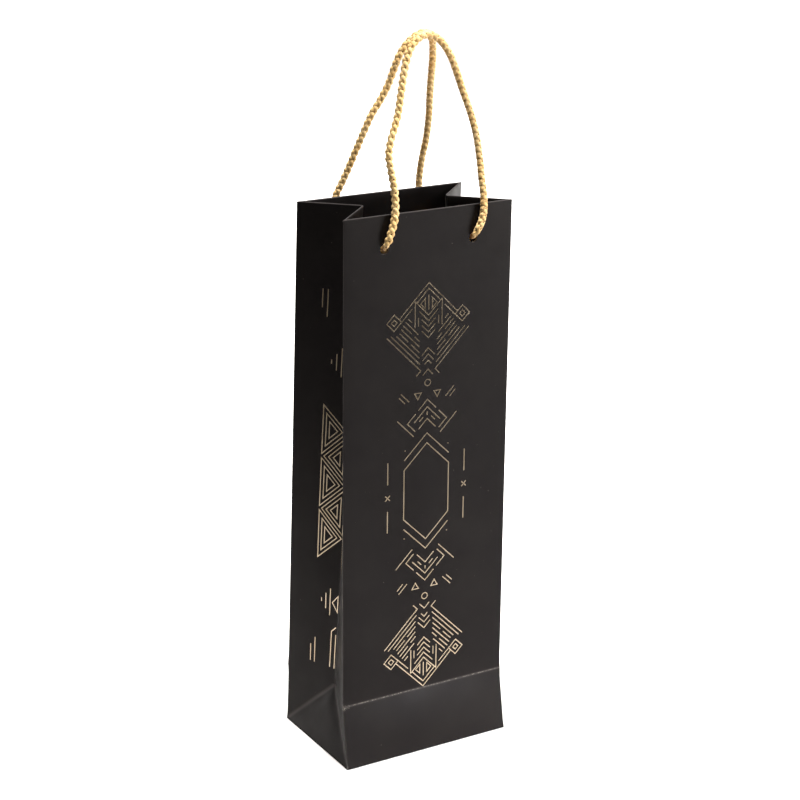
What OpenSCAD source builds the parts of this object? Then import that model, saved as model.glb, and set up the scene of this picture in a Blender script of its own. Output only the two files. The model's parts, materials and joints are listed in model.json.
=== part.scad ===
// Tall paper gift bag for one bottle, standing open, with two cord handles.
// Millimetres. The origin is the centre of the base's underside, the front wall faces -Y and +Z is up.

/* [Bag] */
// Width of the front and back walls
bag_w = 120; // [110:1:130]
// Depth of the base
bag_d = 84; // [80:1:90]
// Height of the bag, without its handles
bag_h = 360; // [330:1:390]
// How far the front wall's top edge stands in front of the middle of the base
front_top = 36.4; // [34:0.2:38]
// How far the back wall's top edge stands behind the middle of the base
back_top = 22.4; // [20:0.2:26]
// How far the front crease stands behind the base's front edge
crease_in = 6.8; // [4:0.2:9]

/* [Paper] */
// Thickness of the laminated paper
paper = 0.35; // [0.25:0.05:0.4]
// Depth of the edge that is turned over inside the mouth
hem_h = 38; // [34:1:42]
// Thickness of the board strip inside the turned edge
strip_t = 0.8; // [0.5:0.1:1]
// Height of the board strip
strip_h = 31; // [28:1:33]
// Thickness of the loose board on the bottom
board_t = 1; // [0.6:0.1:1]
// Width of the glued seam flap
seam_w = 14; // [10:1:18]

/* [Handles] */
// Diameter of the cord
cord_d = 5; // [4:0.1:5]
// Diameter of the punched holes
hole_d = 6; // [5.6:0.1:7]
// Distance between the two holes of a wall
hole_gap = 63; // [60:1:66]
// Distance of the holes below the top edge
hole_drop = 21; // [20:0.5:23]
// Width of a knot
knot_w = 12.4; // [11:0.1:13]
// How far a knot stands off the inside of the wall
knot_h = 10; // [8:0.5:10]

/* [Hidden] */

gap = 0.1;            // clearance between sheets that meet at a fold
glue = 0.02;          // clearance between sheets that lie on each other
hem_clear = 0.3;      // clearance between a twisted sheet and its turned edge
half_w = bag_w / 2;
half_d = bag_d / 2;

// Leaning sheets: the back wall, the low front band and the front wall above its crease
back_lean = atan((half_d - back_top) / bag_h);
back_len = bag_h / cos(back_lean);
band_lean = asin(crease_in / half_d);
crease_y = -half_d + crease_in;
crease_z = half_d * cos(band_lean);
front_lean = atan((front_top + crease_y) / (bag_h - crease_z));
front_len = (bag_h - crease_z) / cos(front_lean);

// Depths of the layers inside a wall's turned edge, from the wall's outer face
strip_in = paper + glue;
hem_in = strip_in + strip_t + glue;
hem_out = hem_in + paper;
hem_half_w = half_w - 1.8;
hem_corner = 3;       // how far the gusset's turned edge keeps from its corner

// Side sheets, drawn for the left side and mirrored for the right
inset = paper + gap;  // how far a side sheet's edge keeps from the outer face of its neighbour
pleat_y = (back_top - front_top) / 2;
pleat_in = sqrt(pow(half_d, 2) - pow((back_top + front_top) / 2, 2));
apex_in = 14.2;       // how far the gusset's low point is pushed in
apex = [-half_w + apex_in, 0, sqrt(pow(half_d, 2) - pow(apex_in, 2))];
pleat_top = [-half_w + pleat_in, pleat_y, bag_h];
front_foot = [-half_w, -half_d + inset, gap];
rear_foot = [-half_w, half_d - inset, gap];
front_fold = [-half_w, crease_y + inset, crease_z];
rear_fold = [-half_w, half_d * (1 - sin(back_lean)) - inset, half_d * cos(back_lean)];
front_corner = [-half_w, -front_top + inset, bag_h];
rear_corner = [-half_w, back_top - inset, bag_h];
side_steps = 48;      // strips along a twisted side sheet
hem_steps = 6;        // strips along its turned edge

// Layers of the base, from its underside
base_half_w = half_w - 0.6;
tuck_z = 2 * paper;
board_z = 3 * paper + glue;

// Routes of the handle cords from hole to hole, each point [across, out of the wall, above its top edge]
front_route = [
  [-31.5, 0.05, -21], [-31.5, 1.9, -21], [-31, 3.1, -18.5], [-29.5, 3.3, -13], [-27.5, 3.2, -7],
  [-26, 2.9, 0], [-25.5, 2, 9], [-26, 1, 18], [-27.5, 0, 27], [-28.5, -0.8, 35.5],
  [-27, -1.4, 43.5], [-24, -2, 51.5], [-21, -2.8, 60.5], [-19, -3.6, 70], [-17, -4.4, 80],
  [-14.5, -5.2, 90], [-10.5, -5.8, 98], [-4.5, -6.3, 103], [3, -6.3, 104], [10, -6, 99.5],
  [16, -5.2, 91], [20.5, -4.4, 80], [25, -3.4, 67.5], [29.5, -2.5, 55.5], [33, -1.5, 43],
  [35, -0.3, 29.5], [36, 0.8, 17.5], [37, 2, 7], [37, 2.9, -3], [35.5, 3.2, -10],
  [33.5, 3.3, -14.5], [32, 3.1, -18.5], [31.5, 1.9, -21], [31.5, 0.05, -21]
];
back_route = [
  [-31.5, 0.05, -21], [-31.5, 1.9, -21], [-31.5, 3.1, -18.5], [-31.5, 3.4, -13], [-31.5, 3.4, -6],
  [-30.5, 2.9, 0], [-27, 0.5, 10], [-24, -2.5, 20.5], [-21.5, -5.4, 30.5], [-19, -8.2, 40],
  [-15.5, -11.5, 52], [-10.5, -14, 62], [-7, -16.5, 71.5], [-5, -19, 81], [-2.5, -21.5, 90.5],
  [2, -23.5, 98], [8, -24.8, 102.5], [14, -25, 103], [18.5, -23.8, 98], [21, -21, 88],
  [22.5, -18, 76.5], [24, -14.8, 64.5], [26, -11.5, 52.5], [27.5, -8.5, 42], [28, -5.6, 31],
  [28, -2.5, 20.5], [28.5, 0.5, 10], [29.5, 2.9, 0], [31, 3.4, -7], [31.5, 3.4, -13],
  [31.5, 3.1, -18.5], [31.5, 1.9, -21], [31.5, 0.05, -21]
];
cord_sides = 10;

// Colours
c_paper = "#343234";
c_inside = "#1d1c1d";
c_board = "#8d8273";
c_cord = "#d9b878";
c_cord_back = "#b9975c";

$fn = 48;

// ---- Helpers ----
function mix(a, b, u) = a + (b - a) * u;
function unit(v) = v / norm(v);

// The two triangles between corners a, b of one ring and c, d of the next; they split along b-c when across is true
function halves(a, b, c, d, across) = across ? [[a, c, b], [b, c, d]] : [[a, c, d], [a, d, b]];

// A closed solid through rings that all have the same number of points. The second half of each ring is split the
// other way, so that both faces of a twisted sheet bend alike.
module skin(rings) {
  k = len(rings[0]);
  n = len(rings);
  sides = [
    for (i = [0 : n - 2]) for (j = [0 : k - 1]) let (a = i * k, b = a + k, after = (j + 1) % k)
      each halves(a + j, a + after, b + j, b + after, 2 * j >= k)
  ];
  ends = [[for (j = [0 : k - 1]) j], [for (j = [k - 1 : -1 : 0]) (n - 1) * k + j]];
  polyhedron(points = [for (ring = rings) each ring], faces = concat(sides, ends), convexity = 6);
}

// A twisted sheet between the edge a0-a1 and the edge b0-b1, its thickness going in along +X
module side_sheet(a0, a1, b0, b1, steps = side_steps) {
  skin([
    for (i = [0 : steps]) let (u = i / steps, a = mix(a0, a1, u), b = mix(b0, b1, u))
      [a, b, b + [paper, 0, 0], a + [paper, 0, 0]]
  ]);
}

// A flat three-cornered sheet, drawn in a little from its corners, its thickness going in along +X
module three_corner_sheet(corners) {
  middle = (corners[0] + corners[1] + corners[2]) / 3;
  own = [for (p = corners) p + unit(middle - p) * 2 * gap];
  skin([own, [for (p = own) p + [paper, 0, 0]]]);
}

// A sheet or board that stands on a wall, from the depth d0 to d1 inside the wall's outer face
module wall_sheet(w, d0, d1, z0, z1) {
  translate([-w / 2, d0, z0]) cube([w, d1 - d0, z1 - z0]);
}

// The wall's two cord holes
module holes(len_up) {
  for (side = [-1, 1])
    translate([side * hole_gap / 2, -1, len_up - hole_drop]) rotate([-90, 0, 0])
      cylinder(d = hole_d, h = hem_out + 2);
}

// Frames of the two walls: X across, Y into the bag from the outer face, Z up the sheet
module on_front() { translate([0, crease_y, crease_z]) rotate([front_lean, 0, 0]) children(); }
module on_back() { translate([0, half_d, 0]) rotate([back_lean, 0, 0]) mirror([0, 1, 0]) children(); }

// The paper that is turned over the board strip and down inside the mouth
module turned_edge(len_up) {
  difference() {
    translate([-hem_half_w, 0, 0]) rotate([90, 0, 90]) linear_extrude(2 * hem_half_w)
      polygon([
        [0, len_up - paper], [0, len_up], [hem_out, len_up],
        [hem_out, len_up - hem_h], [hem_in, len_up - hem_h], [hem_in, len_up - paper]
      ]);
    holes(len_up);
  }
}

// The board strip between the wall and its turned edge
module board_strip(len_up) {
  difference() {
    wall_sheet(2 * hem_half_w - 1, strip_in, strip_in + strip_t, len_up - strip_h, len_up - paper - glue);
    holes(len_up);
  }
}

// A stopper knot with its neck through the wall and its short tail
module knot(side, len_up) {
  round_r = 2.8;
  translate([side * hole_gap / 2, hem_out + glue, len_up - hole_drop]) {
    rotate([-90, 0, 0]) rotate_extrude() {
      square([knot_w / 2 - round_r, knot_h]);
      translate([0, round_r]) square([knot_w / 2, knot_h - 2 * round_r]);
      for (z = [round_r, knot_h - round_r]) translate([knot_w / 2 - round_r, z]) circle(round_r);
    }
    rotate([90, 0, 0]) translate([0, 0, -1]) cylinder(d = cord_d - 0.1, h = hem_out + glue + 1);
    translate([0, knot_h / 2, 0]) rotate([180 - 8, side * 14, 0]) cylinder(d = cord_d - 0.4, h = 17);
  }
}

// Directions along a route, and a side direction carried along it without twist
function travel(route) = [
  for (i = [0 : len(route) - 1])
    unit(route[min(i + 1, len(route) - 1)] - route[max(i - 1, 0)])
];
function across(t, before) = unit(before - (before * t) * t);
function carried(t) = [
  for (i = 0, s = across(t[0], [1, 0, 0]); i < len(t); i = i + 1, s = i < len(t) ? across(t[i], s) : s) s
];

// A round cord swept along a route
module cord(route, len_up) {
  line = [for (p = route) [p[0], -p[1], p[2] + len_up]];
  t = travel(line);
  s = carried(t);
  skin([
    for (i = [0 : len(line) - 1])
      [for (j = [0 : cord_sides - 1]) let (a = -360 * j / cord_sides)
        line[i] + cord_d / 2 * (cos(a) * s[i] + sin(a) * cross(t[i], s[i]))]
  ]);
}

// ---- Back wall ----
module back_panel() {
  color(c_paper) on_back() difference() {
    wall_sheet(bag_w, 0, paper, gap, back_len - paper);
    holes(back_len);
  }
}
module back_hem() { color(c_inside) on_back() turned_edge(back_len); }
module back_strip() { color(c_board) on_back() board_strip(back_len); }

// Flap of the side sheet, glued to the inside of the back wall
module seam_flap() {
  color(c_inside) on_back() translate([-half_w + 1.3, strip_in, half_d + 3])
    cube([seam_w, paper, back_len - hem_h - half_d - 4]);
}

// ---- Sides ----
module gusset_rear() {
  side_sheet(rear_fold + [0, 0, gap], rear_corner, apex + [0, gap, gap], pleat_top + [0, gap, 0]);
}
module gusset_front() {
  side_sheet(apex + [0, -gap, gap], pleat_top + [0, -gap, 0], front_fold + [0, 0, gap], front_corner);
}

// The gusset's edge turned in at the mouth: a strip behind each of its halves
module gusset_hem() {
  u0 = 1 - hem_h / bag_h;
  in = [paper + hem_clear, 0, 0];
  for (edge = [[rear_fold, rear_corner, 1], [front_fold, front_corner, -1]]) {
    low = mix(edge[0], edge[1], u0) + in;
    low_pleat = mix(apex, pleat_top, u0) + in;
    top = edge[1] + in - [0, 0, gap];
    top_pleat = pleat_top + in - [0, 0, gap];
    out = hem_corner / half_d;
    strip = [
      mix(low, low_pleat, out), mix(top, top_pleat, out),
      mix(low, low_pleat, 1 - out / 3), mix(top, top_pleat, 1 - out / 3)
    ];
    if (edge[2] > 0) side_sheet(strip[0], strip[1], strip[2], strip[3], hem_steps);
    else side_sheet(strip[2], strip[3], strip[0], strip[1], hem_steps);
  }
}
module gore() { three_corner_sheet([front_foot, rear_foot, apex]); }
module rear_corner_fold() { three_corner_sheet([rear_foot, rear_fold, apex]); }
module front_corner_fold() { three_corner_sheet([front_fold, front_foot, apex]); }

module left_gusset_rear() { color(c_paper) gusset_rear(); }
module left_gusset_front() { color(c_paper) gusset_front(); }
module left_gusset_hem() { color(c_inside) gusset_hem(); }
module left_gore() { color(c_paper) gore(); }
module left_rear_corner() { color(c_paper) rear_corner_fold(); }
module left_front_corner() { color(c_paper) front_corner_fold(); }
module right_gusset_rear() { color(c_paper) mirror([1, 0, 0]) gusset_rear(); }
module right_gusset_front() { color(c_paper) mirror([1, 0, 0]) gusset_front(); }
module right_gusset_hem() { color(c_inside) mirror([1, 0, 0]) gusset_hem(); }
module right_gore() { color(c_paper) mirror([1, 0, 0]) gore(); }
module right_rear_corner() { color(c_paper) mirror([1, 0, 0]) rear_corner_fold(); }
module right_front_corner() { color(c_paper) mirror([1, 0, 0]) front_corner_fold(); }

// ---- Base ----
// Long flap from the front edge, outermost, and long flap from the back edge, glued above it
module base_outer_flap() {
  color(c_paper) translate([-base_half_w, -half_d + 0.5, 0]) cube([2 * base_half_w, 66, paper]);
}
module base_inner_flap() {
  color(c_inside) translate([-base_half_w + 0.3, -16, paper])
    cube([2 * base_half_w - 0.6, half_d + 16 - 0.7, paper]);
}

// Short flap from a side sheet, tapered, inside the long ones
module tuck() {
  translate([0, 0, tuck_z]) linear_extrude(paper)
    polygon([[-base_half_w + 0.6, -40.4], [-base_half_w + 0.6, 40.4], [-22, 26], [-22, -26]]);
}
module base_left_tuck() { color(c_inside) tuck(); }
module base_right_tuck() { color(c_inside) mirror([1, 0, 0]) tuck(); }
module bottom_board() {
  color(c_board) translate([-half_w + 2, -half_d + 0.9, board_z])
    cube([bag_w - 4, bag_d - 1.7, board_t]);
}

// ---- Front wall ----
module front_band() {
  color(c_paper) translate([0, -half_d, 0]) rotate([-band_lean, 0, 0])
    wall_sheet(bag_w, 0, paper, gap, half_d - gap);
}
module front_panel() {
  color(c_paper) on_front() difference() {
    wall_sheet(bag_w, 0, paper, gap, front_len - paper);
    holes(front_len);
  }
}
module front_hem() { color(c_inside) on_front() turned_edge(front_len); }
module front_strip() { color(c_board) on_front() board_strip(front_len); }

// ---- Handles ----
module front_left_knot() { color(c_cord) on_front() knot(-1, front_len); }
module front_right_knot() { color(c_cord) on_front() knot(1, front_len); }
module front_cord() { color(c_cord) on_front() cord(front_route, front_len); }
module back_left_knot() { color(c_cord_back) on_back() knot(-1, back_len); }
module back_right_knot() { color(c_cord_back) on_back() knot(1, back_len); }
module back_cord() { color(c_cord_back) on_back() cord(back_route, back_len); }

back_panel();
back_hem();
back_strip();
seam_flap();
left_gusset_rear();
left_gusset_front();
left_gusset_hem();
left_gore();
left_rear_corner();
left_front_corner();
right_gusset_rear();
right_gusset_front();
right_gusset_hem();
right_gore();
right_rear_corner();
right_front_corner();
base_outer_flap();
base_inner_flap();
base_left_tuck();
base_right_tuck();
bottom_board();
front_band();
front_panel();
front_hem();
front_strip();
front_left_knot();
front_right_knot();
front_cord();
back_left_knot();
back_right_knot();
back_cord();
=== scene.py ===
"""A tall paper gift bag for one bottle: folded paper shells, stamped foil, plaited handles and a plain studio.

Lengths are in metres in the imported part's frame; MM turns millimetres into metres.
"""

import json
import math

import bpy
from mathutils import Matrix, Vector, noise


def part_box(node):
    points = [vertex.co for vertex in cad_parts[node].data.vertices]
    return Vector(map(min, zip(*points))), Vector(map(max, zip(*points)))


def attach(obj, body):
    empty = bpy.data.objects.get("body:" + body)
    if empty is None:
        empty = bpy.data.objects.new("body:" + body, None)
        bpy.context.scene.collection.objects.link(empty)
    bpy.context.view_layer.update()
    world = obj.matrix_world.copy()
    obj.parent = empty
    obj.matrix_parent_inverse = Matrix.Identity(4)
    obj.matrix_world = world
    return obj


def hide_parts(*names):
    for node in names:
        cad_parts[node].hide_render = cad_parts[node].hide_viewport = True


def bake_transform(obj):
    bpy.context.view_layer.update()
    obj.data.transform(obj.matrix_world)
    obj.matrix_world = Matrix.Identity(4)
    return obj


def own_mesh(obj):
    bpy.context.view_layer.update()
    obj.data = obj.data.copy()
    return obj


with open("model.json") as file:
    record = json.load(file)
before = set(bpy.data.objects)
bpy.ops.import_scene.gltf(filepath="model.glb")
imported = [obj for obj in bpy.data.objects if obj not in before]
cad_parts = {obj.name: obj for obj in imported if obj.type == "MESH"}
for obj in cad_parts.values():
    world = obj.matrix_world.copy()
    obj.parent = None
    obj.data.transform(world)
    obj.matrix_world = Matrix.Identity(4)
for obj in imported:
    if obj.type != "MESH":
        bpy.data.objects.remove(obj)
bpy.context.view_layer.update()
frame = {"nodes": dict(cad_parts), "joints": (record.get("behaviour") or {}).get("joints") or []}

MM = 0.001

# ---- Sizes of the open bag, read from the frame where it holds them ----
HALF_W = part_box("back_panel")[1].x
HALF_D = round(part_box("back_panel")[1].y, 4)
BAG_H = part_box("left_gusset_rear")[1].z
FRONT_TOP_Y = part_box("front_hem")[0].y
BACK_TOP_Y = 22.4 * MM
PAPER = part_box("base_outer_flap")[1].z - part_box("base_outer_flap")[0].z
JOINTS = {joint["name"]: joint for joint in frame["joints"]}
CREASE_Y, CREASE_Z = JOINTS["front_fold"]["pos_m"][1:]
PLEAT_TOP = Vector((0.030, -0.007, BAG_H))
APEX = Vector((0.0458, 0, 0.03953))

# ---- Sizes of the folded edges, the holes and the cords ----
HEM_DEPTH = 1.54 * MM
HEM_H = 38 * MM
GUSSET_HEM_DEPTH = 1.0 * MM
HOLE_R = 3 * MM
HOLE_X = 31.5 * MM
HOLE_DROP = 21 * MM
CORD_D = 5 * MM
KNOT_D = 4.2 * MM

# Routes of the two handles from hole to hole: across, out of the wall, above its top edge, in millimetres
FRONT_ROUTE = [
    (-31.5, -1.9, -21.6), (-31.4, -0.5, -20.6), (-30.8, 1.5, -17.8), (-29.8, 2.8, -14.2), (-28.9, 3.2, -10.6),
    (-27.3, 3.2, -6), (-26, 2.9, 0), (-25.5, 2, 9), (-26, 1, 18), (-27.5, 0, 27), (-28.5, -0.8, 35.5),
    (-27, -1.4, 43.5), (-24, -2, 51.5), (-21, -2.8, 60.5), (-19, -3.6, 70), (-17, -4.4, 80),
    (-14.5, -5.2, 90), (-10.5, -5.8, 98), (-4.5, -6.3, 103), (3, -6.3, 104), (10, -6, 99.5),
    (16, -5.2, 91), (20.5, -4.4, 80), (25, -3.4, 67.5), (29.5, -2.5, 55.5), (33, -1.5, 43),
    (35, -0.3, 29.5), (36, 0.8, 17.5), (37, 2, 7), (37, 2.9, -3), (35.7, 3.2, -9.4),
    (33.9, 3.0, -13.8), (32.4, 1.8, -17.6), (31.6, -0.4, -20.6), (31.5, -1.9, -21.6),
]
BACK_ROUTE = [
    (-31.5, -1.7, -21.9), (-31.5, 0.2, -20.9), (-31.5, 1.9, -18.7), (-31.5, 3.1, -14), (-31.5, 3.4, -6),
    (-30.5, 2.9, 0), (-27, 0.5, 10), (-24, -2.5, 20.5), (-21.5, -5.4, 30.5), (-19, -8.2, 40),
    (-15.5, -11.5, 52), (-10.5, -14, 62), (-7, -16.5, 71.5), (-5, -19, 81), (-2.5, -21.5, 90.5),
    (2, -23.5, 98), (8, -24.8, 102.5), (14, -25, 103), (18.5, -23.8, 98), (21, -21, 88),
    (22.5, -18, 76.5), (24, -14.8, 64.5), (26, -11.5, 52.5), (27.5, -8.5, 42), (28, -5.6, 31),
    (28, -2.5, 20.5), (28.5, 0.5, 10), (29.5, 2.9, 0), (31, 3.4, -7), (31.5, 3.1, -14),
    (31.5, 1.9, -18.7), (31.5, 0.2, -20.9), (31.5, -1.7, -21.9),
]


def smooth(t):
    """0 to 1 as t goes from 0 to 1, level at both ends."""
    t = min(1.0, max(0.0, t))
    return t * t * (3 - 2 * t)


# ---- Camera ----
CAMERA_AT = Vector((-0.62893, -1.05915, 0.63485))
CAMERA_YAW, CAMERA_DOWN, CAMERA_ROLL = 30.775, 18.254, 0.4645
LENS_MM = 91.5


def make_camera():
    data = bpy.data.cameras.new("camera")
    data.lens = LENS_MM
    data.sensor_width = 36
    data.clip_start = 0.01
    data.clip_end = 50
    camera = bpy.data.objects.new("camera", data)
    bpy.context.scene.collection.objects.link(camera)
    turn = Matrix.Rotation(math.radians(-CAMERA_YAW), 4, "Z")
    tilt = Matrix.Rotation(math.radians(90 - CAMERA_DOWN), 4, "X")
    roll = Matrix.Rotation(math.radians(CAMERA_ROLL), 4, "Z")
    camera.matrix_world = Matrix.Translation(CAMERA_AT) @ turn @ tilt @ roll
    bpy.context.scene.camera = camera


# ---- Walls and sheets ----
class Wall:
    """A flat wall's own directions: X across, `up` the sheet from its foot, `inward` from its outer face."""

    def __init__(self, foot, top, side):
        self.foot = Vector((0, *foot))
        span = Vector((0, *top)) - self.foot
        self.length = span.length
        self.up = span.normalized()
        self.inward = Vector((0, side * self.up.z, -side * self.up.y))

    def at(self, across, depth, up):
        return self.foot + Vector((across, 0, 0)) + self.inward * depth + self.up * up


FRONT = Wall((CREASE_Y, CREASE_Z), (FRONT_TOP_Y, BAG_H), 1)
BACK = Wall((HALF_D, 0), (BACK_TOP_Y, BAG_H), -1)
BAND = Wall((-HALF_D, 0), (CREASE_Y, CREASE_Z), 1)


# A fold's rounding at its line, and how far its wear reaches, both in radii
ROUNDING = 0.25
WEAR_REACH = 1.3


class Crease:
    """A fold between two sheets, rounded over `radius` on both. `towards` holds, for each sheet, the points that it
    reaches from the fold's start and end. The rounding fades out over `fade` at the ends marked in `ends`."""

    def __init__(self, start, end, towards, radius, wear, ends=(True, True), fade=6 * MM):
        self.start = start
        self.length = (end - start).length
        self.along = (end - start).normalized()
        self.towards = towards
        self.radius = radius
        self.wear = wear
        self.ends = ends
        self.fade = fade

    def near(self, point):
        """(how far along the fold, how far from it) for a point on either sheet."""
        w = min(self.length, max(0.0, (point - self.start).dot(self.along)))
        return w, (point - self.start - self.along * w).length

    def size(self, w):
        size = self.radius
        if self.ends[0]:
            size *= smooth(w / self.fade)
        if self.ends[1]:
            size *= smooth((self.length - w) / self.fade)
        return size

    def shift(self, point):
        """How far the rounding moves a point of one of the two sheets."""
        w, s = self.near(point)
        radius = self.size(w)
        if s >= radius or radius < 1e-6:
            return Vector((0, 0, 0))
        here = self.start + self.along * w
        both = Vector((0, 0, 0))
        for low, high in self.towards:
            way = low.lerp(high, w / self.length) - here
            both += (way - self.along * way.dot(self.along)).normalized()
        return both * ROUNDING * radius * (1 - s / radius) ** 2

    def worn(self, point):
        w, s = self.near(point)
        return self.wear * max(0.0, 1 - s / (self.radius * WEAR_REACH))


class Sheet:
    """A paper sheet's outer face between the edge a0-a1 and the edge b0-b1: u runs from a to b, and v along them.
    `side` turns its normal to the outside, `bow` is how far its middle stands out, and `ripple` how uneven it is."""

    def __init__(self, a0, a1, b0, b1, side=1, creases=(), bow=0.0, ripple=0.0, seed=0):
        self.corners = (a0, a1, b0, b1)
        self.side = side
        self.creases = creases
        self.bow = bow
        self.ripple = ripple
        self.seed = seed

    def flat(self, u, v):
        a0, a1, b0, b1 = self.corners
        return a0.lerp(a1, v).lerp(b0.lerp(b1, v), u)

    def normal(self, u, v):
        step = 0.01
        u0, v0 = min(u, 1 - step), min(v, 1 - step)
        here = self.flat(u0, v0)
        cross = (self.flat(u0 + step, v0) - here).cross(self.flat(u0, v0 + step) - here)
        return cross.normalized() * self.side

    def uneven(self, u, v):
        window = smooth(4 * u) * smooth(4 - 4 * u) * smooth(5 * v) * smooth(5 - 5 * v)
        wave = noise.noise(Vector((2.3 * u, 4.1 * v, 7.7 * self.seed)))
        bulge = math.sin(math.pi * u) * math.sin(math.pi * v)
        return self.bow * bulge + self.ripple * wave * window

    def point(self, u, v, lift=0.0):
        flat = self.flat(u, v)
        moved = flat + self.normal(u, v) * (self.uneven(u, v) + lift)
        for crease in self.creases:
            moved += crease.shift(flat)
        return moved

    def worn(self, u, v):
        """How folded and how rubbed the sheet is here."""
        flat = self.flat(u, v)
        folds = [crease.worn(flat) for crease in self.creases]
        scuffs = [amount * max(0.0, 1 - (flat - at).length / reach) for at, reach, amount in SCUFFS]
        return max([0.0, *folds]), max(scuffs)


# ---- Where the folds run, for the left side (-1) and the right side (1) ----
REAR_FOLD_UP = HALF_D
# How wide each kind of fold is rounded
CORNER_R = 0.9 * MM
PRESSED_R = 1.7 * MM
DIAGONAL_R = 2.2 * MM
SOFT_R = 3.5 * MM


def mirrored(point, side):
    return Vector((side * point.x, point.y, point.z))


def side_points(side):
    return {
        "front_foot": BAND.at(side * HALF_W, 0, 0),
        "rear_foot": BACK.at(side * HALF_W, 0, 0),
        "front_fold": FRONT.at(side * HALF_W, 0, 0),
        "rear_fold": BACK.at(side * HALF_W, 0, REAR_FOLD_UP),
        "front_top": FRONT.at(side * HALF_W, 0, FRONT.length),
        "rear_top": BACK.at(side * HALF_W, 0, BACK.length),
        "apex": mirrored(APEX, side),
        "pleat_top": mirrored(PLEAT_TOP, side),
    }


def side_creases(side):
    p = side_points(side)
    middle_front = (FRONT.at(0, 0, 0), FRONT.at(0, 0, FRONT.length))
    middle_back = (BACK.at(0, 0, REAR_FOLD_UP), BACK.at(0, 0, BACK.length))
    middle_back_low = (BACK.at(0, 0, 0), BACK.at(0, 0, REAR_FOLD_UP))
    middle_band = (BAND.at(0, 0, 0), BAND.at(0, 0, BAND.length))
    pleat = (p["apex"], p["pleat_top"])
    apex = (p["apex"], p["apex"])
    return {
        "front_edge": Crease(p["front_fold"], p["front_top"], (middle_front, pleat), CORNER_R, 0.5, (True, False)),
        "rear_edge": Crease(p["rear_fold"], p["rear_top"], (middle_back, pleat), CORNER_R, 0.5, (True, False)),
        "rear_edge_low": Crease(p["rear_foot"], p["rear_fold"], (middle_back_low, apex), CORNER_R, 0.5),
        "front_edge_low": Crease(p["front_foot"], p["front_fold"], (middle_band, apex), CORNER_R, 0.5),
        "pleat": Crease(
            p["apex"], p["pleat_top"],
            ((p["rear_fold"], p["rear_top"]), (p["front_fold"], p["front_top"])), PRESSED_R, 0.35, (True, False),
        ),
        "rear_line": Crease(
            p["rear_fold"], p["apex"], ((p["rear_top"], p["pleat_top"]), (p["rear_foot"], p["rear_foot"])),
            SOFT_R, 0.0,
        ),
        "front_line": Crease(
            p["front_fold"], p["apex"], ((p["front_top"], p["pleat_top"]), (p["front_foot"], p["front_foot"])),
            PRESSED_R, 0.5,
        ),
        "rear_diagonal": Crease(
            p["rear_foot"], p["apex"], ((p["rear_fold"], p["rear_fold"]), (p["front_foot"], p["front_foot"])),
            DIAGONAL_R, 0.5,
        ),
        "front_diagonal": Crease(
            p["front_foot"], p["apex"], ((p["front_fold"], p["front_fold"]), (p["rear_foot"], p["rear_foot"])),
            DIAGONAL_R, 0.5,
        ),
    }


SIDES = {"left": -1, "right": 1}
POINTS = {name: side_points(side) for name, side in SIDES.items()}
CREASES = {name: side_creases(side) for name, side in SIDES.items()}
WALL_CREASE = Crease(
    POINTS["left"]["front_fold"], POINTS["right"]["front_fold"],
    (
        (POINTS["left"]["front_top"], POINTS["right"]["front_top"]),
        (POINTS["left"]["front_foot"], POINTS["right"]["front_foot"]),
    ),
    1.0 * MM, 0.74, (False, False),
)
# Rubbed places: where, how wide, how much
SCUFFS = [
    (POINTS["left"]["front_fold"] + Vector((2 * MM, 0, -1 * MM)), 7 * MM, 0.95),
    (POINTS["left"]["front_fold"] + Vector((7 * MM, 0, -0.5 * MM)), 5 * MM, 0.8),
    (POINTS["left"]["front_fold"] + Vector((17 * MM, 0, -0.5 * MM)), 3 * MM, 0.8),
    (POINTS["right"]["front_fold"] + Vector((-2 * MM, 0, 0)), 5 * MM, 0.66),
    (POINTS["left"]["apex"], 5 * MM, 0.62), (POINTS["right"]["apex"], 5 * MM, 0.6),
    (POINTS["left"]["front_top"], 3.5 * MM, 0.62), (POINTS["left"]["front_foot"], 3 * MM, 0.66),
]


def both_sides(*names):
    return [CREASES[side][name] for side in SIDES for name in names]


def wall_sheet(wall, creases, bow, ripple, seed):
    left = wall.at(-HALF_W, 0, 0), wall.at(-HALF_W, 0, wall.length)
    right = wall.at(HALF_W, 0, 0), wall.at(HALF_W, 0, wall.length)
    return Sheet(*left, *right, -1 if wall is BACK else 1, creases, bow, ripple, seed)


FRONT_SHEET = wall_sheet(FRONT, [WALL_CREASE, *both_sides("front_edge")], 0.5 * MM, 0.5 * MM, 1)
BACK_SHEET = wall_sheet(BACK, both_sides("rear_edge", "rear_edge_low"), 0.5 * MM, 0.5 * MM, 2)
BAND_SHEET = wall_sheet(BAND, [WALL_CREASE, *both_sides("front_edge_low")], 1.7 * MM, 0.25 * MM, 3)


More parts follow.
